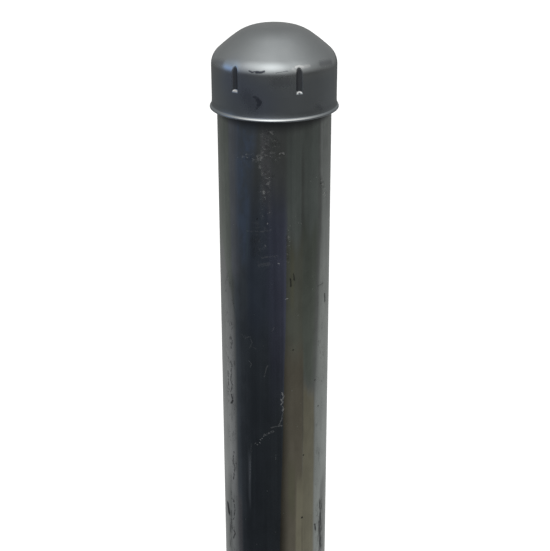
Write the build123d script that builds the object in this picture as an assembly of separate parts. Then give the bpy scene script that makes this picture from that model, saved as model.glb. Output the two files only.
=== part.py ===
from build123d import *
import math
import os

# Pipe, in millimetres
pipe_length = 1829.0
pipe_diameter = 60.3
pipe_wall = 3.91
pipe_edge_break = 0.5

# Cap sheet and its fit on the pipe
sheet = 1.6
skirt_clearance = 1.05
rib_clearance = 0.1
seat_clearance = 0.15

# Cap form, heights taken from the mouth, angles in degrees
mouth_flare = 1.12
lip_height = 2.2
flare_height = 2.8
skirt_height = 22.6
shoulder_radius = 10.3
flank_slope = 39.2
knuckle_radius = 11.0
crown_radius = 56.0
dome_height = 20.15

# Grip ribs pressed into the skirt
rib_count = 6
rib_width = 3.7
rib_foot_height = 13.6
rib_foot_slope = 52.0
first_rib_angle = -67.3

# Sizes that follow from those above
pipe_radius = pipe_diameter / 2
skirt_radius = pipe_radius + skirt_clearance + sheet
mouth_radius = skirt_radius + mouth_flare
rib_floor_radius = pipe_radius + rib_clearance + sheet
rib_depth = skirt_radius - rib_floor_radius
finger_radius = (rib_width**2 / 4 + rib_depth**2) / (2 * rib_depth)


# A point at a distance and an angle from a centre, in the plane of the cap's section
def swing(centre, distance, angle):
    turn = math.radians(angle)
    return centre + Vector(math.cos(turn), math.sin(turn)) * distance


# Centres of the section's arcs, each tangent to its neighbours
flank_facing = 90 - flank_slope
shoulder_centre = Vector(skirt_radius - shoulder_radius, skirt_height)
crown_centre = Vector(0, skirt_height + dome_height - crown_radius)


# The knuckle rounds the corner between the flank and the crown
def find_knuckle_centre():
    facing = swing(Vector(0, 0), 1, flank_facing)
    uphill = swing(Vector(0, 0), 1, flank_facing + 90)
    start = swing(shoulder_centre, shoulder_radius - knuckle_radius, flank_facing)
    reach = crown_radius - knuckle_radius
    offset = start - crown_centre
    across = offset.dot(facing)
    climb = math.sqrt(reach**2 - across**2) - offset.dot(uphill)
    return start + uphill * climb


knuckle_centre = find_knuckle_centre()
crown_edge = knuckle_centre - crown_centre
crown_facing = math.degrees(math.atan2(crown_edge.Y, crown_edge.X))


# Outline of the cap from its mouth to the apex, at a depth below the outer skin
def cap_outline(depth):
    skirt = skirt_radius - depth
    mouth = mouth_radius - depth
    flare_top = lip_height + flare_height
    return [
        Line((mouth, 0), (mouth, lip_height)),
        Line((mouth, lip_height), (skirt, flare_top)),
        Line((skirt, flare_top), (skirt, skirt_height)),
        CenterArc(shoulder_centre, shoulder_radius - depth, 0, flank_facing),
        Line(
            swing(shoulder_centre, shoulder_radius - depth, flank_facing),
            swing(knuckle_centre, knuckle_radius - depth, flank_facing),
        ),
        CenterArc(knuckle_centre, knuckle_radius - depth, flank_facing, crown_facing - flank_facing),
        CenterArc(crown_centre, crown_radius - depth, crown_facing, 90 - crown_facing),
    ]


def spin(edges):
    return revolve(Plane.XZ * make_face(edges), Axis.Z)


# The sheet as drawn, before the ribs, with its edge cut square at the mouth
def make_sheet():
    apex = swing(crown_centre, crown_radius, 90)
    mouth_edge = Line((mouth_radius, 0), (mouth_radius - sheet, 0))
    apex_line = Line(apex, apex - Vector(0, sheet))
    return spin(cap_outline(0) + [apex_line] + cap_outline(sheet) + [mouth_edge])


# Everything inside the middle of the sheet
def make_core():
    depth = sheet / 2
    apex = swing(crown_centre, crown_radius - depth, 90)
    return spin(cap_outline(depth) + [Line(apex, (0, 0)), Line((0, 0), (mouth_radius - depth, 0))])


# The finger that presses a rib, grown for the inner face by the sheet's thickness
def make_finger(growth):
    reach = skirt_height + dome_height
    finger = Pos(rib_floor_radius + finger_radius, 0, 0) * Cylinder(
        finger_radius + growth, reach, align=(Align.CENTER, Align.CENTER, Align.MIN)
    )
    slope = math.radians(rib_foot_slope)
    facing = Vector(math.sin(slope), 0, math.cos(slope))
    foot = Vector(skirt_radius, 0, rib_foot_height) - facing * growth
    return split(finger, bisect_by=Plane(foot, x_dir=(0, 1, 0), z_dir=facing), keep=Keep.TOP)


def around(shape):
    return [Rot(0, 0, first_rib_angle + 360 * i / rib_count) * shape for i in range(rib_count)]


# The pressed ribs keep the sheet's thickness: a groove outside, a crest inside
def make_cap():
    crest = make_finger(sheet) & make_core()
    return make_sheet() + around(crest) - around(make_finger(0))


# The pipe's top edge meets the inner face of the cap's shoulder
def seat_height():
    inner = shoulder_radius - sheet - seat_clearance
    inset = pipe_radius - shoulder_centre.X
    return skirt_height + math.sqrt(inner**2 - inset**2) + pipe_edge_break


def make_pipe():
    bottom = (Align.CENTER, Align.CENTER, Align.MIN)
    tube = Cylinder(pipe_radius, pipe_length, align=bottom)
    tube -= Cylinder(pipe_radius - pipe_wall, pipe_length, align=bottom)
    return chamfer(tube.edges().filter_by(GeomType.CIRCLE), pipe_edge_break)


pipe = make_pipe()
cap = Pos(0, 0, pipe_length - seat_height()) * make_cap()

os.makedirs("parts", exist_ok=True)
for name, shape in {"pipe": pipe, "cap": cap}.items():
    export_step(shape, f"parts/{name}.step")
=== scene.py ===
import math

import bmesh
import bpy
from mathutils import Euler, Matrix, Vector
from mathutils.bvhtree import BVHTree


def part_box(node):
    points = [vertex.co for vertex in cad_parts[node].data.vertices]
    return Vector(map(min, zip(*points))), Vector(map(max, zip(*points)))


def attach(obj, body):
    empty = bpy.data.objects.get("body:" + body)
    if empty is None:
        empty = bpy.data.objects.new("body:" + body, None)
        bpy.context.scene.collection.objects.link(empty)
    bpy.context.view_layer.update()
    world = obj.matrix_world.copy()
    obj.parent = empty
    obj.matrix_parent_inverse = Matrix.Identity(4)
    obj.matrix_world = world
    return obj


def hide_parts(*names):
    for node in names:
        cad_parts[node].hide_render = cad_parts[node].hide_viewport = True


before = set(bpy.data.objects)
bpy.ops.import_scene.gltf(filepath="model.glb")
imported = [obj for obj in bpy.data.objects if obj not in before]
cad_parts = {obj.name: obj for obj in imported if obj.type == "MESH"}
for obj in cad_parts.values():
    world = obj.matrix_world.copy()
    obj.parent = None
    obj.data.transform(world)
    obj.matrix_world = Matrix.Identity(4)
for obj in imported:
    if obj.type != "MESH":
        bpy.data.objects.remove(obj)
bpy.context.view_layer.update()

capLow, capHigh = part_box("cap")
pipeLow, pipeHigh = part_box("pipe")
mm = 0.001
print("stage: frame loaded")


# Camera

photo = {"width": 550, "height": 551}

view = {
    "focalLength": 1225.3,      # in pixels of the photograph
    "sensor": 36.0,
    "pitchDown": 22.53,         # degrees below the horizon
    "roll": -0.15,
    "axisDistance": 629.7 * mm,
    "aboveMouth": 164.4 * mm,
    "sideways": 0.14 * mm,
}


def makeCamera():
    data = bpy.data.cameras.new("camera")
    data.sensor_width = view["sensor"]
    data.lens = view["focalLength"] * view["sensor"] / max(photo["width"], photo["height"])
    data.clip_start = 0.01
    data.clip_end = 200
    camera = bpy.data.objects.new("camera", data)
    bpy.context.scene.collection.objects.link(camera)
    camera.location = (view["sideways"], -view["axisDistance"], capLow.z + view["aboveMouth"])
    tilt = Euler((math.radians(90 - view["pitchDown"]), 0, 0)).to_matrix()
    turn = Matrix.Rotation(math.radians(view["roll"]), 3, "Z")
    camera.rotation_euler = (tilt @ turn).to_euler()
    bpy.context.scene.camera = camera
    bpy.context.view_layer.update()
    return camera


camera = makeCamera()
bpy.context.scene.view_settings.view_transform = "Standard"


# Where the line of sight through a pixel of the photograph meets a piece
def sightPoint(tree, pixel):
    across = (pixel[0] - photo["width"] / 2) / view["focalLength"]
    up = (photo["height"] / 2 - pixel[1]) / view["focalLength"]
    ray = camera.matrix_world.to_3x3() @ Vector((across, up, -1))
    found = tree.ray_cast(camera.location, ray.normalized())
    if found[0] is None:
        raise ValueError(f"pixel {pixel} misses the piece")
    return found[0]


# Shader building

class Value:
    # A socket that takes part in plain sums, so that 1 - mask adds the Math node it needs
    def __init__(self, graph, socket):
        self.graph = graph
        self.socket = socket

    def math(self, operation, *others):
        return self.graph.math(operation, self, *others)

    def __add__(self, other):
        return self.math("ADD", other)

    def __radd__(self, other):
        return self.math("ADD", other)

    def __sub__(self, other):
        return self.math("SUBTRACT", other)

    def __rsub__(self, other):
        return self.graph.math("SUBTRACT", other, self)

    def __mul__(self, other):
        return self.math("MULTIPLY", other)

    def __rmul__(self, other):
        return self.math("MULTIPLY", other)

    def __truediv__(self, other):
        return self.math("DIVIDE", other)

    def __neg__(self):
        return self.math("MULTIPLY", -1)

    # 0 below low, 1 above high, with soft ends
    def rise(self, low, high):
        return self.graph.add(
            "MapRange", {"interpolation_type": "SMOOTHSTEP"},
            {"Value": self, "From Min": low, "From Max": high},
        )

    # 1 between low and high, each end as soft as told
    def band(self, low, high, softLow, softHigh):
        return (self - low).rise(-softLow, softLow) * (1 - (self - high).rise(-softHigh, softHigh))

    # Another output of the same node, and one axis of a vector
    def out(self, name):
        return Value(self.graph, self.socket.node.outputs[name])

    def part(self, axis):
        return self.graph.add("SeparateXYZ", None, {0: self}, out=axis)


class Graph:
    def __init__(self, tree):
        self.tree = tree
        tree.nodes.clear()

    # Any node: its kind, its settings, then the values or links of its sockets
    def add(self, kind, settings=None, sockets=None, out=0):
        node = self.tree.nodes.new("ShaderNode" + kind)
        for name, value in (settings or {}).items():
            setattr(node, name, value)
        for key, value in (sockets or {}).items():
            if isinstance(value, Value):
                self.tree.links.new(value.socket, node.inputs[key])
            else:
                node.inputs[key].default_value = value
        return Value(self, node.outputs[out]) if node.outputs else None

    def math(self, operation, *terms):
        return self.add("Math", {"operation": operation}, dict(enumerate(terms)))

    def vector(self, operation, *terms, out=0):
        return self.add("VectorMath", {"operation": operation}, dict(enumerate(terms)), out=out)

    def scaled(self, vector, factor):
        return self.add("VectorMath", {"operation": "SCALE"}, {"Vector": vector, "Scale": factor})

    def mix(self, factor, first, second, blend="MIX"):
        shades = [(*s, 1) if isinstance(s, tuple) else s for s in (first, second)]
        return self.add(
            "Mix", {"data_type": "RGBA", "blend_type": blend, "clamp_factor": True},
            {0: factor, 6: shades[0], 7: shades[1]}, out=2,
        )

    def noise(self, place, scale, detail=3.0, roughness=0.55, distortion=0.0):
        return self.add("TexNoise", None, {
            "Vector": place, "Scale": scale, "Detail": detail,
            "Roughness": roughness, "Distortion": distortion,
        })


def newMaterial(name):
    material = bpy.data.materials.new(name)
    material.use_nodes = True
    return material, Graph(material.node_tree)


# A soft mask round the stretch between two points of the surface
def strokeMask(graph, place, start, end, width, soft=0.5):
    toPlace = graph.vector("SUBTRACT", place, tuple(start))
    along = end - start
    if along.length > 1e-6:
        share = graph.vector("DOT_PRODUCT", toPlace, tuple(along / along.length_squared), out="Value")
        share = share.math("MAXIMUM", 0).math("MINIMUM", 1)
        nearest = graph.scaled(tuple(along), share)
        toPlace = graph.vector("SUBTRACT", toPlace, nearest)
    distance = graph.vector("LENGTH", toPlace, out="Value")
    return 1 - distance.rise(width / 2 * (1 - soft), width / 2 * (1 + soft))


# Several marks of one kind in one mask, each a run of pixels of the photograph, or dots if "apart"
def marksMask(graph, place, tree, marks, soft=0.5):
    total = None
    for mark in marks.values():
        points = [sightPoint(tree, pixel) for pixel in mark["pixels"]]
        apart = mark.get("apart") or len(points) == 1
        for start, end in zip(points, points if apart else points[1:]):
            one = strokeMask(graph, place, start, end, mark["width"] * mm, soft)
            one = one * mark.get("strength", 1.0)
            total = one if total is None else total.math("MAXIMUM", one)
    return total


# Meshes of turned and pressed sheet

def arcPoints(centre, radius, start, end, steps):
    turns = [math.radians(start + (end - start) * i / steps) for i in range(steps + 1)]
    return [(centre[0] + radius * math.cos(t), centre[1] + radius * math.sin(t)) for t in turns]


def linePoints(start, end, steps):
    return [(start[0] + (end[0] - start[0]) * i / steps, start[1] + (end[1] - start[1]) * i / steps)
            for i in range(steps + 1)]


def joinRuns(*runs):
    joined = []
    for run in runs:
        for point in run:
            if not joined or math.dist(point, joined[-1]) > 1e-5:
                joined.append(point)
    return joined


# Arcs one after another, each tangent to the last, from a starting point
def chainArcs(at, bends, depth=0.0):
    runs = []
    for radius, start, end, steps in bends:
        turn, last = math.radians(start), math.radians(end)
        centre = (at[0] - radius * math.cos(turn), at[1] - radius * math.sin(turn))
        runs.append(arcPoints(centre, radius - depth, start, end, steps))
        at = (centre[0] + radius * math.cos(last), centre[1] + radius * math.sin(last))
    return joinRuns(*runs)


# Spins an outline, in millimetres, round the Z axis. shape may push a point in or out at its azimuth,
# and how far it went in is kept on the mesh as "pressed"
def lathe(name, outline, azimuths, closed, shape=None, base=0.0):
    mesh = bpy.data.meshes.new(name)
    work = bmesh.new()
    pressed = work.verts.layers.float.new("pressed")
    rings = []
    for index, (radius, height) in enumerate(outline):
        if radius < 1e-6:
            rings.append([work.verts.new((0, 0, base + height * mm))])
            continue
        ring = []
        for azimuth in azimuths:
            reach = shape(index, radius, height, azimuth) if shape else radius
            corner = work.verts.new((
                reach * mm * math.sin(azimuth), -reach * mm * math.cos(azimuth), base + height * mm,
            ))
            corner[pressed] = radius - reach
            ring.append(corner)
        rings.append(ring)
    count = len(azimuths)
    pairs = list(zip(rings, rings[1:] + rings[:1])) if closed else list(zip(rings, rings[1:]))
    for lower, upper in pairs:
        if len(lower) == 1 and len(upper) == 1:
            continue
        for i in range(count):
            j = (i + 1) % count
            if len(lower) == 1:
                work.faces.new((lower[0], upper[j], upper[i]))
            elif len(upper) == 1:
                work.faces.new((lower[i], lower[j], upper[0]))
            else:
                work.faces.new((lower[i], lower[j], upper[j], upper[i]))
    bmesh.ops.recalc_face_normals(work, faces=work.faces)
    work.to_mesh(mesh)
    work.free()
    mesh.shade_smooth()
    piece = bpy.data.objects.new(name, mesh)
    bpy.context.scene.collection.objects.link(piece)
    return piece


def surfaceTree(piece):
    corners = [v.co for v in piece.data.vertices]
    faces = [tuple(p.vertices) for p in piece.data.polygons]
    return BVHTree.FromPolygons(corners, faces)


# Cap

capForm = {
    "sheet": 1.6,
    "flare": 1.12,
    "flareSlope": 9.0,           # degrees from upright at the foot of the flare
    "creaseSlope": 60.0,         # and in the crease above the lip
    "creaseRadius": 0.3,
    "lipRadius": 1.4,
    "lipFoot": 0.27,
    "lipInnerRound": 0.22,
    "innerLipHeight": 1.2,
    "innerFlareTop": 5.0,
    "innerFlareSteps": 12,
    "crownRadius": 83.0,
    "crownFacing": 84.5,         # degrees above the horizon, where each bend ends
    "knuckleRadius": 25.0,
    "flankTop": 54.0,
    "flankFoot": 47.5,
    "shoulderRadius": 10.3,
}

ribForm = {
    "count": 6,
    "first": 22.7,               # degrees round from the camera's side
    "width": 3.7,
    "clearance": 0.1,
    "footHeight": 13.6,
    "footSlope": 52.0,
    "footBlend": 0.3,
    "aboveFoot": 2.0,            # mm round the foot where the rows are close together
    "belowFoot": 0.6,
    "insideBelowFoot": 1.0,
    "edgeRound": 0.22,
    "columns": 28,
    "columnSpan": 8.4,           # degrees
    "plainColumns": 26,
}

mouthRadius = capHigh.x / mm
apexHeight = (capHigh.z - capLow.z) / mm
skirtRadius = mouthRadius - capForm["flare"]
pipeRadius = pipeHigh.x / mm
ribFloor = pipeRadius + ribForm["clearance"] + capForm["sheet"]
ribDepth = skirtRadius - ribFloor
fingerRadius = (ribForm["width"] ** 2 / 4 + ribDepth ** 2) / (2 * ribDepth)
fingerCentre = ribFloor + fingerRadius


# The dome from its apex down to the top of the skirt, at a depth below the outer skin. Each bend has
# its radius, the degrees where it starts and ends, and its steps. The flank joins the other three
def domePoints(depth):
    bends = [
        (capForm["crownRadius"], 90.0, capForm["crownFacing"], 10),
        (capForm["knuckleRadius"], capForm["crownFacing"], capForm["flankTop"], 20),
        (None, capForm["flankTop"], capForm["flankFoot"], 14),
        (capForm["shoulderRadius"], capForm["flankFoot"], 0.0, 36),
    ]
    known = sum(r * (math.cos(math.radians(b)) - math.cos(math.radians(a))) for r, a, b, _ in bends if r)
    span = math.cos(math.radians(capForm["flankFoot"])) - math.cos(math.radians(capForm["flankTop"]))
    flankRadius = (skirtRadius - known) / span
    bends = [(radius or flankRadius, start, end, steps) for radius, start, end, steps in bends]
    return chainArcs((0, apexHeight), bends, depth)


# The flare, the crease and the lip, from the skirt down to the mouth
def flarePoints():
    slope, steep = capForm["flareSlope"], capForm["creaseSlope"]
    crease, lip = capForm["creaseRadius"], capForm["lipRadius"]
    cosSlope, cosSteep = math.cos(math.radians(slope)), math.cos(math.radians(steep))
    sinSlope, sinSteep = math.sin(math.radians(slope)), math.sin(math.radians(steep))
    flareRadius = capForm["flare"] - crease * (cosSlope - cosSteep) - lip * (1 - cosSteep)
    flareRadius /= 1 - cosSlope
    top = capForm["lipFoot"] + lip * sinSteep + crease * (sinSteep - sinSlope) + flareRadius * sinSlope
    edge = capForm["lipInnerRound"]
    return joinRuns(
        chainArcs((skirtRadius, top), [
            (flareRadius, 180, 180 + slope, 12),
            (crease, 180 + slope, 180 + steep, 8),
            (lip, steep, 0, 16),
        ]),
        arcPoints((mouthRadius - edge, edge), edge, 0, -90, 6),
    )


# The section of the sheet, outside from the apex to the mouth and back up inside
def capOutline():
    outer = domePoints(0)
    inner = domePoints(capForm["sheet"])
    skirtTop = outer[-1][1]
    flareRun = flarePoints()
    foot = ribForm["footHeight"]
    above, below = foot + ribForm["aboveFoot"], foot - ribForm["belowFoot"]
    skirtRun = joinRuns(
        linePoints((skirtRadius, skirtTop), (skirtRadius, above), 24),
        linePoints((skirtRadius, above), (skirtRadius, below), 22),
        linePoints((skirtRadius, below), flareRun[0], 8),
    )
    outerRun = joinRuns(outer, skirtRun, flareRun)
    inside = mouthRadius - capForm["sheet"]
    edge = capForm["lipInnerRound"]
    innerLip = arcPoints((inside + edge, edge), edge, -90, -180, 6)
    innerSkirt = skirtRadius - capForm["sheet"]
    innerFlare = []
    low, high = capForm["innerLipHeight"], capForm["innerFlareTop"]
    for i in range(capForm["innerFlareSteps"] + 1):
        t = i / capForm["innerFlareSteps"]
        ease = inside + (innerSkirt - inside) * t * t * (3 - 2 * t)
        innerFlare.append((ease, low + (high - low) * t))
    insideFoot = foot - ribForm["insideBelowFoot"]
    innerRun = joinRuns(
        innerLip, innerFlare,
        linePoints((innerSkirt, high), (innerSkirt, insideFoot), 5),
        linePoints((innerSkirt, insideFoot), (innerSkirt, skirtTop), 24),
        inner[::-1],
    )
    return outerRun, innerRun


# The lesser of two numbers, with a soft corner where they meet, and below it the greater
def softLeast(a, b, blend):
    h = max(0.0, min(1.0, 0.5 + 0.5 * (b - a) / blend))
    return b + (a - b) * h - blend * h * (1 - h)


def softMost(a, b, blend):
    return -softLeast(-a, -b, blend)


# How far from the axis the pressed rib's surface lies, at an angle from the rib's middle
def ribReach(offset, height, growth):
    reach = fingerRadius + growth
    aside = fingerCentre * math.sin(offset)
    if abs(aside) >= reach:
        return None
    wall = fingerCentre * math.cos(offset) - math.sqrt(reach ** 2 - aside ** 2)
    slope = math.radians(ribForm["footSlope"])
    footRadius = skirtRadius - growth * math.sin(slope)
    footHeight = ribForm["footHeight"] - growth * math.cos(slope)
    foot = footRadius - (height - footHeight) / math.tan(slope)
    return softMost(wall, foot, ribForm["footBlend"])


def makeCap():
    outerRun, innerRun = capOutline()
    outline = joinRuns(outerRun, innerRun)
    outerCount = len(outerRun)
    pitch = 2 * math.pi / ribForm["count"]
    first = math.radians(ribForm["first"])
    half = math.radians(ribForm["columnSpan"]) / 2
    azimuths = []
    for rib in range(ribForm["count"]):
        middle = first + rib * pitch
        azimuths += [middle - half + 2 * half * i / ribForm["columns"] for i in range(ribForm["columns"])]
        rest = pitch - 2 * half
        plain = ribForm["plainColumns"]
        azimuths += [middle + half + rest * i / plain for i in range(plain)]

    def press(index, radius, height, azimuth):
        offset = (azimuth - first + pitch / 2) % pitch - pitch / 2
        growth = 0.0 if index < outerCount else capForm["sheet"]
        reach = ribReach(offset, height, growth)
        if reach is None or height < ribForm["footHeight"] - ribForm["aboveFoot"]:
            return radius
        return softLeast(radius, reach, ribForm["edgeRound"])

    return lathe("capShell", outline, azimuths, False, press, capLow.z)


cap = makeCap()
capTree = surfaceTree(cap)
print("stage: cap mesh,", len(cap.data.polygons), "faces")


# Pipe

pipeForm = {
    "wall": 3.91,
    "edgeBreak": 0.5,
    "columns": 288,
    "rows": 150,
    "sharpAngle": 30.0,
}


def makePipe():
    length = (pipeHigh.z - pipeLow.z) / mm
    outside = pipeRadius
    inside = pipeRadius - pipeForm["wall"]
    edge = pipeForm["edgeBreak"]
    rows = pipeForm["rows"]
    outline = joinRuns(
        linePoints((inside, edge), (inside + edge, 0), 1),
        linePoints((outside - edge, 0), (outside, edge), 1),
        linePoints((outside, edge), (outside, length - edge), rows),
        linePoints((outside - edge, length), (inside + edge, length), 1),
        linePoints((inside, length - edge), (inside, edge), rows),
    )
    turns = [2 * math.pi * i / pipeForm["columns"] for i in range(pipeForm["columns"])]
    piece = lathe("pipeTube", outline[:-1], turns, True, None, pipeLow.z)
    piece.data.set_sharp_from_angle(angle=math.radians(pipeForm["sharpAngle"]))
    return piece


pipe = makePipe()
pipeTree = surfaceTree(pipe)
print("stage: pipe mesh,", len(pipe.data.polygons), "faces")


# Finish of the pipe, mill scale with bands, streaks, specks, scratches and pits, with painted shade under
# the cap and painted glints on curled scale

pipeFinish = {
    "plain": (0.355, 0.375, 0.365),
    "roughness": 0.2,
    # Colour of the light marks and specks, and of the painted glints on curled scale
    "speck": (0.80, 0.81, 0.80),
    "pit": (0.03, 0.03, 0.035),
    "markShare": 0.85,           # how far a mark covers what it lies on
    "markRoughness": 0.35,
    "streakRoughness": 0.16,
    "cloudRoughness": 0.14,
    "ragged": 1.2,               # mm that the marks' edges wander
    # Painted shade under the cap's mouth: its colour, how much it covers and how far it reaches
    "underCapShade": (0.095, 0.10, 0.11),
    "underCapShadeShare": 0.9,
    "underCapShadeDrop": 8.0,         # mm below the mouth where the painted shade ring has gone
    "underCapShadeSide": 0.5,         # share of that at the sides, and what is added in the middle
    "underCapShadeMiddle": 0.6,
    "grainHeight": 0.05,
    "cloudHeight": 0.25,
    "bumpStrength": 0.3,
    "bumpDepth": 0.12,           # mm
}

# Scale, detail, roughness and distortion of each noise
pipeNoise = {
    "streak": (420.0, 4.0, 0.6),
    "broad": (75.0, 3.0, 0.5),
    "cloud": (38.0, 5.0, 0.6, 0.4),
    "fine": (190.0, 4.0, 0.65),
    "drift": (22.0, 3.0),
    "blotch": (115.0, 4.0, 0.6),
    "clump": (240.0, 4.0, 0.7),
    "fleck": (500.0, 2.0, 0.5),
    "contour": (520.0, 3.0, 0.6, 0.8),
    "loose": (210.0, 3.0, 0.6),
    "ragged": (900.0, 2.0),
    "broken": (1150.0, 2.0, 0.5),
    "chopped": (620.0, 2.0, 0.5),
    "mottle": (620.0, 4.0, 0.65),
    "grain": (900.0, 3.0, 0.6),
}

# How some of them are scaled along the pipe: under 1 they are drawn out
pipeStretch = {
    "streak": 0.02,
    "broad": 0.05,
    "fine": 0.3,
    "blotch": 0.55,
    "fleck": 1.3,
    "contour": 0.3,
    "loose": 0.5,
    "mottle": 0.25,
}

# Where each noise is cut into a mask, 0 below the first number and 1 above the second
pipeCuts = {
    "blotch": (0.40, 0.60),
    "behind": (80, 105),         # degrees round, where the camera's side ends
    "broad": (0.42, 0.62),
    "clump": (0.41, 0.56),
    "speck": (0.54, 0.63),
    "shade": (0.52, 0.62),
    "cell": (0.1, 0.3),
    "chance": (0.988, 0.995),
    "rim": (0.006, 0.03),
    "loose": (0.5, 0.6),
    "broken": (0.34, 0.5),
    "chopped": (0.36, 0.48),
    "mottle": (0.42, 0.62),
}

# How much each noise adds to the tone
pipeTone = {"base": 0.58, "streak": 0.30, "broad": 0.16, "cloud": 0.12, "fine": 0.2, "blotch": 0.09}

# How strong the kinds of small marks made by noise are
smallMarks = {"speck": 0.7, "stray": 0.5, "strayScale": 640.0, "shade": 0.6, "scratch": 0.8}

# The bands in degrees, with soft ends, and the rows where the scratches start and are full
scratchZone = {"left": (-64, -47, 3, 1.5), "right": (50, 66, 3, 3), "rightShare": 0.55, "rows": (240, 300)}

# How far the bands' edges wander, the first two in degrees and the last in metres up the pipe
bandWander = {"drift": 1.6, "fine": 1.2, "rows": 0.05}

# Bands of tint that run down the pipe. Edges are degrees round from the camera's side, at two rows of
# the photograph, rows says where a band starts and ends, and fade how slowly it does
edgeRows = (325, 545)

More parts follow.
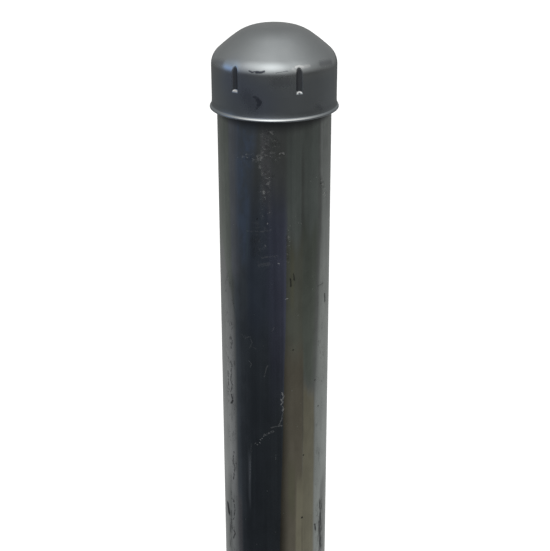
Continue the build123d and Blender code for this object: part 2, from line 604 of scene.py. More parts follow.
pipeBands = {
    "blueBlack": {"left": (-44, -44.5), "right": (10.8, 5.4), "soft": (2.0, 0.7),
                  "tint": (0.255, 0.295, 0.335), "rows": (270, 900), "fade": 100},
    "deepBlue": {"left": (-33, -33), "right": (10.8, 6), "soft": (4, 0.7),
                 "tint": (0.262, 0.318, 0.42), "rows": (208, 335), "fade": 26, "strength": 0.8},
    "violet": {"left": (-6, -2), "right": (10.8, 6), "soft": (5, 0.7),
               "tint": (0.31, 0.325, 0.48), "rows": (200, 395), "fade": 50, "strength": 0.6},
    "violetLight": {"left": (3, 3), "right": (10.8, 6), "soft": (3, 0.7),
                    "tint": (0.37, 0.39, 0.55), "rows": (215, 335), "fade": 24, "strength": 0.5},
    "greyLeft": {"left": (-47, -47), "right": (-29, -31), "soft": (3, 4),
                 "tint": (0.33, 0.375, 0.42), "rows": (266, 900), "fade": 12, "strength": 0.9,
                 "patchy": 0.35},
    "violetEdge": {"left": (-52, -52), "right": (-37, -37), "soft": (3, 4),
                   "tint": (0.45, 0.475, 0.525), "rows": (118, 285), "fade": 12, "strength": 0.85},
    "upperBlue": {"left": (-41, -41), "right": (-16, -30), "edgeRows": (130, 262), "soft": (5, 4),
                  "tint": (0.345, 0.435, 0.59), "rows": (128, 272), "fade": 14, "patchy": 0.6},
    "tealLine": {"left": (-29.6, -29.6), "right": (-28, -28), "soft": (0.6, 0.6),
                 "tint": (0.33, 0.43, 0.50), "rows": (230, 267), "fade": 5, "strength": 0.8},
    "darkColumn": {"left": (-24, -24), "right": (-15, -15), "soft": (3, 3),
                   "tint": (0.20, 0.225, 0.25), "rows": (172, 262), "fade": 22, "strength": 0.6,
                   "patchy": 0.6},
    "paleColumn": {"left": (-13, -13), "right": (-4, -4), "soft": (2, 3),
                   "tint": (0.46, 0.46, 0.47), "rows": (130, 222), "fade": 14, "strength": 0.8,
                   "patchy": 0.5},
    "greenRight": {"left": (12, 12), "right": (50, 50), "soft": (3, 5),
                   "tint": (0.41, 0.47, 0.445), "rows": (126, 235), "fade": 20, "strength": 0.8},
    "paleRight": {"left": (53, 53), "right": (95, 95), "soft": (3, 3),
                  "tint": (0.75, 0.79, 0.78), "rows": (120, 176), "fade": 8, "strength": 0.9},
    "thinDark": {"left": (27.8, 27.8), "right": (30.6, 30.6), "soft": (0.7, 1.5),
                 "tint": (0.25, 0.26, 0.25), "rows": (150, 235), "fade": 18, "strength": 0.6},
    "oliveGreen": {"left": (11.5, 11), "right": (31, 30), "soft": (0.8, 2),
                   "tint": (0.325, 0.345, 0.285), "rows": (232, 375), "fade": 16, "strength": 0.9},
    "greenBand": {"left": (30, 29), "right": (49, 44), "edgeRows": (225, 385), "soft": (1.5, 4),
                  "tint": (0.295, 0.335, 0.29), "rows": (225, 383), "fade": 14, "strength": 0.9},
    "brown": {"left": (10.8, 5.4), "right": (31, 31), "soft": (0.7, 1.5),
              "tint": (0.315, 0.29, 0.23), "rows": (345, 900), "fade": 24},
    "oliveEdge": {"left": (16, 17), "right": (20, 21), "soft": (1.5, 1.5),
                  "tint": (0.38, 0.385, 0.27), "rows": (240, 300), "fade": 12, "strength": 0.6},
    "oliveLow": {"left": (14, 14), "right": (22, 22), "soft": (2, 2),
                 "tint": (0.265, 0.265, 0.18), "rows": (462, 512), "fade": 12, "strength": 0.6},
    "tongue": {"left": (31, 31), "right": (46, 48.5), "soft": (1.0, 2.0),
               "tint": (0.42, 0.40, 0.305), "rows": (390, 900), "fade": 10},
    "tongueTwo": {"left": (25.5, 23), "right": (32, 32), "soft": (1.2, 1.0),
                  "tint": (0.45, 0.425, 0.32), "rows": (482, 900), "fade": 10},
    "seamDark": {"left": (29.8, 30.6), "right": (31.4, 32.2), "soft": (0.6, 0.8),
                 "tint": (0.20, 0.19, 0.15), "rows": (380, 450), "fade": 14, "strength": 0.45},
    "seamLow": {"left": (30.2, 30.2), "right": (31.8, 31.8), "soft": (0.6, 0.8),
                "tint": (0.22, 0.21, 0.16), "rows": (526, 900), "fade": 8, "strength": 0.4},
    "lilacBand": {"left": (-50, -50), "right": (-39.5, -39.5), "soft": (3, 1.2),
                  "tint": (0.42, 0.41, 0.43), "rows": (497, 900), "fade": 6, "strength": 0.8},
    "silverRight": {"left": (56, 47.5), "right": (95, 95), "edgeRows": (235, 400), "soft": (2.5, 3),
                    "tint": (0.55, 0.585, 0.57), "rows": (90, 900), "fade": 40},
    "gleamRight": {"left": (53, 53), "right": (95, 95), "soft": (3, 3),
                   "tint": (0.63, 0.665, 0.645), "rows": (240, 380), "fade": 20, "strength": 0.9},
    "footRight": {"left": (60, 60), "right": (95, 95), "soft": (2.5, 3),
                  "tint": (0.27, 0.28, 0.275), "rows": (495, 900), "fade": 10, "strength": 0.8,
                  "patchy": 0.4},
    "greenLeft": {"left": (-95, -95), "right": (-50, -47), "soft": (3, 2.5),
                  "tint": (0.44, 0.48, 0.44), "rows": (120, 300), "fade": 25},
    "silverLeft": {"left": (-95, -95), "right": (-69, -46), "edgeRows": (258, 324), "soft": (3, 2),
                   "tint": (0.50, 0.515, 0.515), "rows": (262, 900), "fade": 12},
    "gleamLeft": {"left": (-66, -57), "right": (-49, -46), "soft": (3, 2),
                  "tint": (0.72, 0.73, 0.73), "rows": (325, 492), "fade": 24, "strength": 0.7},
    "footLeft": {"left": (-95, -95), "right": (-57, -57), "soft": (3, 3),
                 "tint": (0.24, 0.255, 0.255), "rows": (496, 900), "fade": 16, "strength": 0.9,
                 "patchy": 0.3},
    "streakLow": {"left": (-30.5, -30.5), "right": (-27.8, -27.8), "soft": (1.6, 1.0),
                  "tint": (0.68, 0.74, 0.82), "rows": (460, 513), "fade": 9, "strength": 0.85},
}

lightMarks = {
    "chipOne": {"pixels": [(282.1, 393), (282.9, 395.2)], "width": 0.7, "strength": 0.8},
    "chipTwo": {"pixels": [(283.9, 396.4), (282.9, 398.8)], "width": 0.9, "strength": 0.8},
    "chipThree": {"pixels": [(281, 399.4), (281.8, 401.4)], "width": 0.8, "strength": 0.8},
    "chipFour": {"pixels": [(282.8, 402), (281.2, 404.6)], "width": 0.7, "strength": 0.8},
    "chipFive": {"pixels": [(281.8, 406.2), (283, 407.4)], "width": 0.6, "strength": 0.6},
    "chipSix": {"pixels": [(283.4, 408.8), (282.6, 411)], "width": 0.8, "strength": 0.75},
    "flakeFoot": {"pixels": [(283.2, 413), (281.3, 420), (278.9, 425)], "width": 0.6, "strength": 0.5},
    "branch": {"pixels": [(281.8, 425.6), (276, 426.4), (271, 427.9)], "width": 0.7, "strength": 0.5},
    "trail": {"pixels": [(273, 431.5), (268, 433.5), (263.5, 436)], "width": 1.1, "strength": 0.55},
    "trailDots": {"pixels": [(264.3, 434.2), (262.2, 438.4), (260.6, 439.6)], "width": 0.7,
                  "strength": 0.9, "apart": True},
    "trailEnd": {"pixels": [(257.4, 444.9), (255.2, 443.4), (259.6, 443)], "width": 0.8, "apart": True},
    "curlOne": {"pixels": [(243, 336), (245, 338.5), (250, 336.5), (252, 343), (249.5, 348)], "width": 0.5,
                "strength": 0.4},
    "curlTwo": {"pixels": [(249, 361), (251.5, 364), (250, 367)], "width": 0.5, "strength": 0.5},
    "curlThree": {"pixels": [(268.5, 365), (266, 369), (264.5, 377)], "width": 0.5, "strength": 0.4},
    "longStreak": {"pixels": [(251.5, 444), (250.5, 462), (249.8, 483)], "width": 0.8, "strength": 0.25},
    "shortStreak": {"pixels": [(275.5, 455), (276, 460)], "width": 0.5, "strength": 0.4},
    "dotsHigh": {"pixels": [(265.2, 245.3), (278.7, 263.5), (267.5, 223.5)], "width": 0.9, "apart": True,
                 "strength": 0.8},
    "crossHigh": {"pixels": [(247, 231), (262, 231.5), (271, 230)], "width": 0.7, "strength": 0.3},
    "crossMiddle": {"pixels": [(262, 257.5), (277, 256)], "width": 0.9, "strength": 0.3},
    "crossLow": {"pixels": [(259.5, 265.5), (268.5, 264)], "width": 2.0, "strength": 0.24},
    "dash": {"pixels": [(285.8, 299.2), (287.4, 298.6)], "width": 0.7, "strength": 0.75},
    "vee": {"pixels": [(270, 327), (272, 332), (274, 327)], "width": 0.4, "strength": 0.35},
    "scuffHigh": {"pixels": [(241, 334), (247, 337)], "width": 0.5, "strength": 0.3},
    "scuffLow": {"pixels": [(250, 345), (256, 349)], "width": 0.5, "strength": 0.3},
}

darkMarks = {
    "pitHigh": {"pixels": [(257, 219)], "width": 0.9},
    "strokeOne": {"pixels": [(290.3, 279), (291, 286)], "width": 0.95, "strength": 0.95},
    "strokeTwo": {"pixels": [(293.5, 274), (294.3, 280)], "width": 0.8, "strength": 0.9},
    "strokeThree": {"pixels": [(318, 286), (323, 283)], "width": 0.6, "strength": 0.6},
    "strokeFour": {"pixels": [(324.6, 294), (324.9, 301)], "width": 1.6, "strength": 0.8},
    "pitOne": {"pixels": [(293, 350)], "width": 1.0},
    "pitTwo": {"pixels": [(315, 380)], "width": 1.1, "strength": 0.8},
    "pitThree": {"pixels": [(318, 406)], "width": 1.1},
    "pitFour": {"pixels": [(303.5, 455)], "width": 1.0},
    "pitFive": {"pixels": [(302, 517.5)], "width": 1.2},
    "slit": {"pixels": [(228, 504), (229.2, 512.5)], "width": 3.4},
    "rightMark": {"pixels": [(314.8, 524), (315.3, 529.5)], "width": 1.3, "strength": 0.9},
    "rightStreak": {"pixels": [(320.5, 513), (319.5, 530), (320.5, 546)], "width": 1.8, "strength": 0.8},
}

# Curled bits of loose scale in the left silver band, dark, with painted glints on a few ends
curlMarks = {
    "one": {"pixels": [(231, 322), (232.3, 328)], "width": 0.9, "strength": 0.6},
    "two": {"pixels": [(231, 337), (232.2, 342), (231, 348)], "width": 1.0, "strength": 0.7},
    "three": {"pixels": [(230.5, 360), (232, 366), (231, 371)], "width": 1.0, "strength": 0.8},
    "four": {"pixels": [(228, 371), (228.3, 380), (229, 389)], "width": 1.2, "strength": 0.7},
    "five": {"pixels": [(231.5, 373), (230.6, 380), (232.6, 386), (231, 391)], "width": 1.0,
             "strength": 0.7},
    "six": {"pixels": [(231.5, 395), (233, 400), (231, 404)], "width": 1.4},
    "seven": {"pixels": [(234, 452), (233, 461), (235, 468), (233.5, 479)], "width": 1.0, "strength": 0.8},
    "eight": {"pixels": [(233.5, 499), (235, 510), (233.5, 519)], "width": 1.0, "strength": 0.8},
    "nine": {"pixels": [(232.5, 526), (235.2, 533), (233.6, 538)], "width": 1.1, "strength": 0.9},
}

# Painted glints at the ends of the curled scale
curlGlints = {
    "high": {"pixels": [(231.6, 340), (230, 356), (231, 368.5), (233.2, 383), (232.4, 397)], "width": 1.3,
             "apart": True, "strength": 0.8},
    "low": {"pixels": [(234.4, 456), (233.2, 474), (234, 503), (235.4, 515), (234, 529)], "width": 1.2,
            "apart": True, "strength": 0.7},
}


# Height on the pipe of a row of the photograph; rows past its foot are carried on down
def rowHeight(row):
    last = photo["height"] - 2
    low = sightPoint(pipeTree, (photo["width"] / 2, min(row, last))).z
    if row <= last:
        return low
    step = sightPoint(pipeTree, (photo["width"] / 2, last - 1)).z - low
    return low - step * (row - last)


def tintBand(azimuth, z, patches, band):
    upper, lower = (rowHeight(row) for row in band.get("edgeRows", edgeRows))
    share = (z - upper) / (lower - upper)
    if "edgeRows" in band:
        share = share.math("MAXIMUM", 0).math("MINIMUM", 1)
    left = band["left"][0] + share * (band["left"][1] - band["left"][0])
    right = band["right"][0] + share * (band["right"][1] - band["right"][0])
    across = azimuth.band(left, right, *band["soft"])
    top, foot = (rowHeight(row) for row in band["rows"])
    fade = rowHeight(band["rows"][0]) - rowHeight(band["rows"][0] + band["fade"])
    down = z.band(foot, top, fade, fade)
    mask = across * down * band.get("strength", 1.0)
    return mask * (1 - (1 - patches) * band["patchy"]) if "patchy" in band else mask


# Where the surface is flecked
fleckClusters = {
    "column": {"pixels": [(266, 134), (266, 214)], "width": 5.0, "strength": 0.8},
    "high": {"pixels": [(268, 133), (275, 144)], "width": 4.0},
    "row": {"pixels": [(244, 156), (262, 159), (282, 154)], "width": 4.0},
    "middle": {"pixels": [(262, 164), (268, 177)], "width": 5.0},
    "low": {"pixels": [(262, 192), (267, 213)], "width": 4.5},
    "tail": {"pixels": [(260, 222), (266, 262)], "width": 8.0, "strength": 0.22},
    "right": {"pixels": [(321, 183), (325, 195)], "width": 4.0},
    "seam": {"pixels": [(289, 226), (288, 262)], "width": 2.0, "strength": 0.6},
}

pipeSmudges = {
    "rightFoot": {"pixels": [(320.5, 502), (320, 520), (320.5, 548)], "width": 5.5, "strength": 0.9},
    "rightFootTwo": {"pixels": [(316, 505), (315.5, 532)], "width": 1.2, "strength": 0.5},
    "leftFoot": {"pixels": [(231, 512), (230.5, 547)], "width": 3.0, "strength": 0.6},
    "leftMiddle": {"pixels": [(233, 395), (232.5, 420)], "width": 2.0, "strength": 0.35},
    "darkPatch": {"pixels": [(256, 242), (257, 254)], "width": 6.0, "strength": 0.55},
    "wedgeEdge": {"pixels": [(287, 236), (287.5, 258)], "width": 1.4, "strength": 0.6},
}


def drawnOut(graph, place, name):
    return graph.vector("MULTIPLY", place, (1.0, 1.0, pipeStretch[name]))


def pipeMaterial():
    material, g = newMaterial("millScaleSteel")
    place = g.add("TexCoord", out="Object")
    x, y, z = (place.part(axis) for axis in "XYZ")
    azimuth = x.math("ARCTAN2", -y) * math.degrees(1)

    # Long streaks left by the rolls, and cloudy patches of scale
    stretched = drawnOut(g, place, "streak")
    streak = g.noise(stretched, *pipeNoise["streak"])
    broad = g.noise(drawnOut(g, place, "broad"), *pipeNoise["broad"])
    cloud = g.noise(place, *pipeNoise["cloud"])
    fine = g.noise(drawnOut(g, place, "fine"), *pipeNoise["fine"])

    # Tint bands on the side the camera sees, and broad ones from noise behind
    along = g.add("CombineXYZ", None, {"X": 0.3, "Y": 0.0, "Z": z})
    drift = (g.noise(along, *pipeNoise["drift"]) - 0.5) * bandWander["drift"]
    bent = azimuth + drift + (fine - 0.5) * bandWander["fine"]
    uneven = z + (broad - 0.5) * bandWander["rows"]
    blotch = g.noise(drawnOut(g, place, "blotch"), *pipeNoise["blotch"]).rise(*pipeCuts["blotch"])
    around = 1 - azimuth.math("ABSOLUTE").rise(*pipeCuts["behind"])
    behind = broad.rise(*pipeCuts["broad"]) * (1 - around)
    shade = g.mix(behind, pipeFinish["plain"], pipeBands["blueBlack"]["tint"])
    for band in pipeBands.values():
        shade = g.mix(tintBand(bent, uneven, blotch, band), shade, band["tint"])
    tone = pipeTone["base"]
    noises = {"streak": streak, "broad": broad, "cloud": cloud, "fine": fine, "blotch": blotch}
    for name, noise in noises.items():
        tone = tone + noise * pipeTone[name]
    grey = g.add("CombineColor", None, {0: tone, 1: tone, 2: tone})
    shade = g.mix(1.0, shade, grey, "MULTIPLY")

    # Painted shade: a darker ring on the pipe under the cap, hanging lower in the middle than at the sides
    facing = y * y / (x * x + y * y)
    drop = (capLow.z - z) / (facing * pipeFinish["underCapShadeMiddle"] + pipeFinish["underCapShadeSide"])
    ring = 1 - drop.rise(0.5 * mm, pipeFinish["underCapShadeDrop"] * mm)
    shade = g.mix(ring * pipeFinish["underCapShadeShare"], shade, pipeFinish["underCapShade"])

    # Small flecks, light and dark, in a loose cluster below the cap, and a few stray ones
    cluster = marksMask(g, place, pipeTree, fleckClusters, soft=0.85)
    clump = g.noise(place, *pipeNoise["clump"]).rise(*pipeCuts["clump"])
    flecks = g.noise(drawnOut(g, place, "fleck"), *pipeNoise["fleck"])
    speckMask = flecks.rise(*pipeCuts["speck"]) * cluster * clump
    shadeMask = (1 - flecks).rise(*pipeCuts["shade"]) * cluster * clump
    cells = g.add("TexVoronoi", {"feature": "F1"}, {
        "Vector": place, "Scale": smallMarks["strayScale"], "Randomness": 1.0,
    })
    chance = g.add("SeparateColor", None, {0: cells.out("Color")}, out="Red")
    strayMask = (1 - cells.rise(*pipeCuts["cell"])) * chance.rise(*pipeCuts["chance"])
    speckMask = (speckMask * smallMarks["speck"]).math("MAXIMUM", strayMask * smallMarks["stray"])

    # Short dark scratches in the two silver bands, the rims of thin loose scale
    contour = g.noise(drawnOut(g, place, "contour"), *pipeNoise["contour"]) - 0.5
    rims = 1 - contour.math("ABSOLUTE").rise(*pipeCuts["rim"])
    loose = g.noise(drawnOut(g, place, "loose"), *pipeNoise["loose"]).rise(*pipeCuts["loose"])
    zone = azimuth.band(*scratchZone["left"])
    zone = zone.math("MAXIMUM", azimuth.band(*scratchZone["right"]) * scratchZone["rightShare"])
    start, full = (rowHeight(row) for row in scratchZone["rows"])
    below = 1 - z.rise(full, start)
    scratch = rims * loose * zone * below

    # Marks read from the photograph, roughened at their edges
    ragged = g.vector("SUBTRACT", g.noise(place, *pipeNoise["ragged"]).out("Color"), (0.5, 0.5, 0.5))
    worn = g.vector("ADD", place, g.scaled(ragged, pipeFinish["ragged"] * mm))
    broken = g.noise(place, *pipeNoise["broken"]).rise(*pipeCuts["broken"])
    light = marksMask(g, worn, pipeTree, lightMarks) * broken
    # The painted glints on the curled scale join the light marks
    light = light.math("MAXIMUM", marksMask(g, worn, pipeTree, curlGlints))
    light = light.math("MAXIMUM", speckMask)
    dark = marksMask(g, worn, pipeTree, darkMarks).math("MAXIMUM", scratch * smallMarks["scratch"])
    chopped = g.noise(place, *pipeNoise["chopped"]).rise(*pipeCuts["chopped"])
    dark = dark.math("MAXIMUM", marksMask(g, worn, pipeTree, curlMarks) * chopped)
    dark = dark.math("MAXIMUM", shadeMask * smallMarks["shade"])
    mottle = g.noise(drawnOut(g, place, "mottle"), *pipeNoise["mottle"]).rise(*pipeCuts["mottle"])
    dark = dark.math("MAXIMUM", marksMask(g, worn, pipeTree, pipeSmudges, soft=0.8) * mottle)
    shade = g.mix(light * pipeFinish["markShare"], shade, pipeFinish["speck"])
    shade = g.mix(dark * pipeFinish["markShare"], shade, pipeFinish["pit"])

    rough = pipeFinish["roughness"] + (streak - 0.5) * pipeFinish["streakRoughness"]
    rough = rough + (cloud - 0.5) * pipeFinish["cloudRoughness"]
    rough = rough + light * pipeFinish["markRoughness"] + dark * pipeFinish["markRoughness"]

    # The marks stay out of the bump, which would triple their nodes and overfill the shader
    grain = g.noise(stretched, *pipeNoise["grain"])
    height = grain * pipeFinish["grainHeight"] + cloud * pipeFinish["cloudHeight"]
    bump = g.add("Bump", None, {
        "Strength": pipeFinish["bumpStrength"], "Distance": pipeFinish["bumpDepth"] * mm, "Height": height,
    })
    skin = g.add("BsdfPrincipled", None, {
        "Base Color": shade, "Metallic": 1.0, "Roughness": rough, "Normal": bump,
    })
    g.add("OutputMaterial", None, {"Surface": skin})
    return material


# Finish of the cap, satin zinc grey with scuffs, and painted highlights, reflections and shade

capFinish = {
    "plain": (0.50, 0.525, 0.54),
    "worn": (0.60, 0.62, 0.635),
    "wornShare": 0.3,
    "wornClouds": (0.4, 0.72),
    "drawnOut": 0.06,                # how the drawing marks are scaled up the cap
    "skirt": (0.89, 0.92, 0.955),    # painted shade, how much darker the skirt is painted than the dome
    "skirtTop": (18, 25),            # mm above the mouth where the skirt's painted shade fades out
    # Colour of the scuffs and smudges, and of the painted shade under a rib's foot
    "scuffsAndShade": (0.045, 0.05, 0.075),
    "scuffShare": 0.9,
    "ragged": 0.8,                   # mm that the marks' edges wander
    # Painted shade in the pressed ribs' slots: its colour, share and extent
    "slot": (0.16, 0.17, 0.19),
    "slotShadeShare": 0.9,
    "slotShadeEdge": (0.22, 0.5),         # mm pressed in, where the slot starts and is full
    "slotShadeFade": 0.5,                 # mm above the foot's top where the slot's painted shade is full
    # Painted highlights on the ribs' sloping feet
    "footHighlightEdge": (0.2, 0.4),
    "footHighlightFade": (-0.2, 0.2),         # mm round the foot's top where its painted highlight ends
    # Colour of the painted highlights, and of one bright nick near the top
    "highlightAndNick": (0.95, 0.95, 0.95),
    "lip": (0.75, 1.4, 0.15, 0.15),  # mm above the mouth where the lip's highlight is painted, and its softness
    "lipHighlightShare": 0.8,
    "lipHighlightFade": (15, 60),             # degrees round from the camera's side where the lip's painted highlight fades out
    "roughness": 0.24,
    "cloudRoughness": 0.10,
    "drawnRoughness": 0.08,
    "scuffRoughness": 0.2,
    "slotRoughness": 0.15,
    "fineHeight": 0.25,
    "drawnHeight": 0.2,
    "cloudHeight": 0.5,
    "bumpStrength": 0.12,
    "bumpDepth": 0.08,               # mm
}

capNoise = {
    "cloud": (55.0, 5.0, 0.6, 0.3),
    "fine": (1400.0, 3.0, 0.6),
    "drawn": (700.0, 3.0, 0.6),
    "ragged": (700.0, 2.0),
}

capScuffsAndShade = {
    "shoulderLeft": {"pixels": [(249, 71), (252, 72.2), (256, 71.8)], "width": 0.7, "strength": 0.9},
    "shoulderRight": {"pixels": [(256, 72.2), (260, 72.6), (264, 71.6)], "width": 1.2},
    "crescentTop": {"pixels": [(254, 97), (257.5, 98.5), (260.8, 102.5)], "width": 1.6, "strength": 0.75},
    "crescentCore": {"pixels": [(257.6, 100.3), (259.6, 103), (258.4, 105)], "width": 2.4,
                     "strength": 0.85},
    "crescentFoot": {"pixels": [(260.8, 102.5), (259, 106), (256.5, 108.5)], "width": 1.3, "strength": 0.7},
    "shoulderDash": {"pixels": [(276, 73), (288, 71.2)], "width": 0.5, "strength": 0.5},
    # Painted shade under the right rib's foot
    "footShade": {"pixels": [(299.4, 93.6)], "width": 1.2, "strength": 0.9},
}

capSmudges = {
    "crescentShade": {"pixels": [(247, 97), (253, 105)], "width": 6.5, "strength": 0.35},
    "skirtPatch": {"pixels": [(275, 83), (286, 82)], "width": 4.0, "strength": 0.3},
    "sideSmudge": {"pixels": [(321, 63.8), (331, 62)], "width": 2.6, "strength": 0.4},
    "leftSmudge": {"pixels": [(214, 61.5), (222, 63)], "width": 2.6, "strength": 0.3},
    "lowSmudge": {"pixels": [(317, 107), (321, 109)], "width": 2.6, "strength": 0.35},
}

# Painted reflections of a blue light from the left, bright on the shoulder and dim on the skirt
capPaintedReflections = {
    "shoulderBlueReflection": {"pixels": [(226.5, 66), (235, 66.8)], "width": 4.6, "strength": 0.95,
                     "tint": (0.72, 0.86, 1.0)},
    "skirtBlueReflection": {"pixels": [(232, 78), (248, 94), (260, 104)], "width": 15.0, "strength": 0.6,
                  "tint": (0.39, 0.435, 0.55)},
}

# Painted highlights: glints on the right shoulder and beside the right rib, and one bright nick near the
# top
capBright = {
    "rightRibGlint": {"pixels": [(296, 67.3), (299.2, 66), (303, 67)], "width": 1.2, "strength": 0.7},
    "rightShoulder": {"pixels": [(302, 67.5), (309, 65.8)], "width": 1.6, "strength": 0.35},
    "ribSide": {"pixels": [(293, 69), (296.5, 71.5)], "width": 1.4, "strength": 0.3},
    "topNick": {"pixels": [(287.6, 23.6)], "width": 1.3, "strength": 0.9},
}


def capMaterial():
    material, g = newMaterial("satinZincSteel")
    place = g.add("TexCoord", out="Object")
    above = (place.part("Z") - capLow.z) / mm
    cloud = g.noise(place, *capNoise["cloud"])
    fine = g.noise(place, *capNoise["fine"])
    drawn = g.noise(g.vector("MULTIPLY", place, (1.0, 1.0, capFinish["drawnOut"])), *capNoise["drawn"])
    share = cloud.rise(*capFinish["wornClouds"]) * capFinish["wornShare"]
    shade = g.mix(share, capFinish["plain"], capFinish["worn"])
    ragged = g.vector("SUBTRACT", g.noise(place, *capNoise["ragged"]).out("Color"), (0.5, 0.5, 0.5))
    worn = g.vector("ADD", place, g.scaled(ragged, capFinish["ragged"] * mm))
    # Painted shade: the upright skirt is painted darker than the dome
    shade = g.mix(1 - above.rise(*capFinish["skirtTop"]), shade, capFinish["skirt"], "MULTIPLY")
    # Painted blue reflections on the shoulder and the skirt
    for name, mark in capPaintedReflections.items():
        shade = g.mix(marksMask(g, place, capTree, {name: mark}, soft=0.95), shade, mark["tint"])

    # Painted shade darkens the ribs' slots, and painted highlights brighten the ribs' feet and the front of
    # the rolled lip
    pressed = g.add("Attribute", {"attribute_name": "pressed"}, out="Fac")
    footTop = ribForm["footHeight"] + ribDepth * math.tan(math.radians(ribForm["footSlope"]))
    low, high = (footTop + reach for reach in capFinish["footHighlightFade"])
    slot = pressed.rise(*capFinish["slotShadeEdge"]) * above.rise(footTop, footTop + capFinish["slotShadeFade"])
    foot = pressed.rise(*capFinish["footHighlightEdge"]) * (1 - above.rise(low, high))
    aside = (place.part("X").math("ARCTAN2", -place.part("Y")) * math.degrees(1)).math("ABSOLUTE")
    lip = above.band(*capFinish["lip"]) * (1 - aside.rise(*capFinish["lipHighlightFade"]))
    # Painted shade in the slots
    shade = g.mix(slot * capFinish["slotShadeShare"], shade, capFinish["slot"])
    # Painted highlights on the feet, the lip and the shoulder, with one bright nick
    bright = foot.math("MAXIMUM", lip * capFinish["lipHighlightShare"])
    bright = bright.math("MAXIMUM", marksMask(g, worn, capTree, capBright, soft=0.8))
    shade = g.mix(bright, shade, capFinish["highlightAndNick"])

    # Scuffs and smudges, with painted shade under a rib's foot
    scuffsAndShade = marksMask(g, worn, capTree, capScuffsAndShade)
    scuffsAndShade = scuffsAndShade.math("MAXIMUM", marksMask(g, worn, capTree, capSmudges, soft=0.95))
    shade = g.mix(scuffsAndShade * capFinish["scuffShare"], shade, capFinish["scuffsAndShade"])
    rough = capFinish["roughness"] + (cloud - 0.5) * capFinish["cloudRoughness"]
    rough = rough + (drawn - 0.5) * capFinish["drawnRoughness"]
    rough = rough + scuffsAndShade * capFinish["scuffRoughness"] + slot * capFinish["slotRoughness"]
    height = fine * capFinish["fineHeight"] + drawn * capFinish["drawnHeight"]
    height = height + cloud * capFinish["cloudHeight"]
    bump = g.add("Bump", None, {
        "Strength": capFinish["bumpStrength"], "Distance": capFinish["bumpDepth"] * mm, "Height": height,
    })
    skin = g.add("BsdfPrincipled", None, {
        "Base Color": shade, "Metallic": 1.0, "Roughness": rough, "Normal": bump,
    })
    g.add("OutputMaterial", None, {"Surface": skin})
    return material


def dress(piece, material, node):
    piece.data.materials.append(material)
    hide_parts(node)
    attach(piece, "root")


dress(pipe, pipeMaterial(), "pipe")
dress(cap, capMaterial(), "cap")
print("stage: finishes")


# Light of a soft studio, bright in front above, dark below in front and lighter below behind

light = {
    "back": 0.26,
    "height": 42.0,              # degrees of the brightest part above the horizon
    "spread": 24.0,
    "wide": 0.55, "wideFocus": 2.4, "wideRise": (-5, 38),
    "box": 0.32, "boxLeft": -72.0, "boxRight": 66.0, "boxSoft": 16.0,
    "core": 0.45, "coreAzimuth": -8.0, "coreSpread": 24.0,
    "dip": 0.3, "dipLeft": 24.0, "dipRight": 62.0, "dipSoft": 12.0,
    "glow": 0.34, "glowAzimuth": -90.0, "glowSpread": 15.0, "glowHeight": 8.0, "glowDepth": 9.0,
    "glowTint": (0.62, 0.86, 1.3), "glowTintShare": 0.9,
    "top": 0.14, "topFocus": 6.0,
    # Just under the horizon and far under it, and the degrees where each holds
    "frontBelow": (0.108, 0.045, 15, 30),
    "rightBelow": (0.105, 0.30, 19, 38),
    "sideBelow": (0.11, 0.40, 12, 36),
    # Degrees round where the front ends and the right starts, and degrees up where each change starts
    "frontEnd": (70, 140),
    "rightStart": (12, 34),
    "frontRise": (-12, 15),
    "horizon": (-14, 4),
    "skyTint": (0.99, 1.0, 0.985), "skyTintRise": (-10, 25),
    "coolTint": (0.96, 1.0, 1.06),
    "warmTint": (1.0, 1.0, 0.98), "warmTurn": (-60, 60),
}


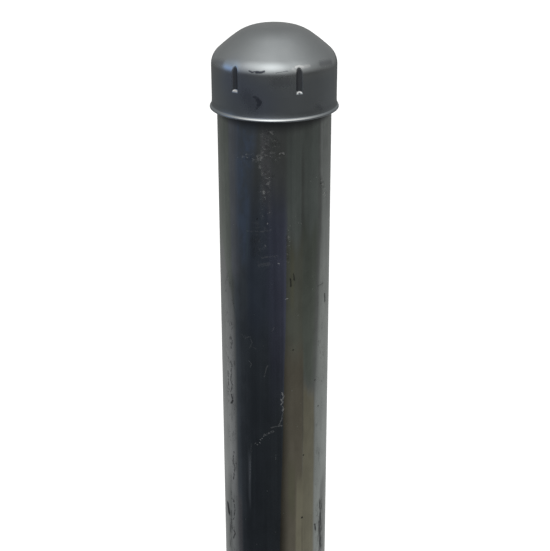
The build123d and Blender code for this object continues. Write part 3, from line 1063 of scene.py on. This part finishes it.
def makeWorld():
    world = bpy.data.worlds.new("studio")
    bpy.context.scene.world = world
    world.use_nodes = True
    g = Graph(world.node_tree)
    way = g.add("TexCoord", out="Generated")
    x, y, z = (way.part(axis) for axis in "XYZ")
    elevation = z.math("ARCSINE") * math.degrees(1)
    azimuth = x.math("ARCTAN2", -y) * math.degrees(1)
    aside = azimuth.math("ABSOLUTE")

    lean = math.radians(light["height"])
    toward = g.vector("DOT_PRODUCT", way, (0, -math.cos(lean), math.sin(lean)), out="Value")
    wide = ((toward - 1) * light["wideFocus"]).math("EXPONENT")
    climb = (elevation - light["height"]) / light["spread"]
    rising = (-(climb * climb)).math("EXPONENT")
    box = azimuth.band(light["boxLeft"], light["boxRight"], light["boxSoft"], light["boxSoft"])
    turn = (azimuth - light["coreAzimuth"]) / light["coreSpread"]
    core = (-(turn * turn)).math("EXPONENT")
    lobes = wide * elevation.rise(*light["wideRise"]) * light["wide"]
    lobes = lobes + rising * (box * light["box"] + core * light["core"])
    dip = azimuth.band(light["dipLeft"], light["dipRight"], light["dipSoft"], light["dipSoft"])
    lobes = lobes * (1 - dip * light["dip"])
    sweep = (azimuth - light["glowAzimuth"]) / light["glowSpread"]
    level = (elevation - light["glowHeight"]) / light["glowDepth"]
    glow = (-(sweep * sweep) - level * level).math("EXPONENT")
    front = 1 - aside.rise(*light["frontEnd"])
    base = light["back"] * (1 - front * (1 - elevation.rise(*light["frontRise"])))
    top = ((z - 1) * light["topFocus"]).math("EXPONENT") * light["top"]
    sky = base + lobes + top

    def deepen(name):
        near, far, low, high = light[name]
        share = ((-elevation - low) / (high - low)).math("MAXIMUM", 0).math("MINIMUM", 1)
        return near + share * (far - near)

    right = azimuth.rise(*light["rightStart"])
    below = deepen("frontBelow") * (1 - right) + deepen("rightBelow") * right
    below = below * front + deepen("sideBelow") * (1 - front)
    lift = elevation.rise(*light["horizon"])
    strength = below * (1 - lift) + sky * lift + glow * light["glow"]

    tint = g.mix(azimuth.rise(*light["warmTurn"]), light["coolTint"], light["warmTint"])
    skyShare = elevation.rise(*light["skyTintRise"]).math("MAXIMUM", 1 - front)
    tint = g.mix(skyShare, tint, light["skyTint"])
    tint = g.mix(glow * light["glowTintShare"], tint, light["glowTint"])
    seen = g.add("Background", None, {"Color": tint, "Strength": strength})
    plain = g.add("Background", None, {"Color": (1, 1, 1, 1), "Strength": 1.0})
    path = g.add("LightPath", out="Is Camera Ray")
    both = g.add("MixShader", None, {0: path, 1: seen, 2: plain})
    g.add("OutputWorld", None, {"Surface": both})


floorForm = {
    "size": 80,                  # metres
    "colour": (0.88, 0.88, 0.88, 1),
    "glow": 0.62,
}


def makeFloor():
    bpy.ops.mesh.primitive_plane_add(size=floorForm["size"], location=(0, 0, 0))
    floor = bpy.context.object
    floor.name = "floor"
    material, g = newMaterial("paleFloor")
    matt = g.add("BsdfDiffuse", None, {"Color": floorForm["colour"]})
    glow = g.add("Emission", None, {"Color": (1, 1, 1, 1), "Strength": floorForm["glow"]})
    both = g.add("AddShader", None, {0: matt, 1: glow})
    g.add("OutputMaterial", None, {"Surface": both})
    floor.data.materials.append(material)
    floor.visible_glossy = False
    floor.visible_diffuse = False


makeWorld()
makeFloor()
print("stage: light and floor")
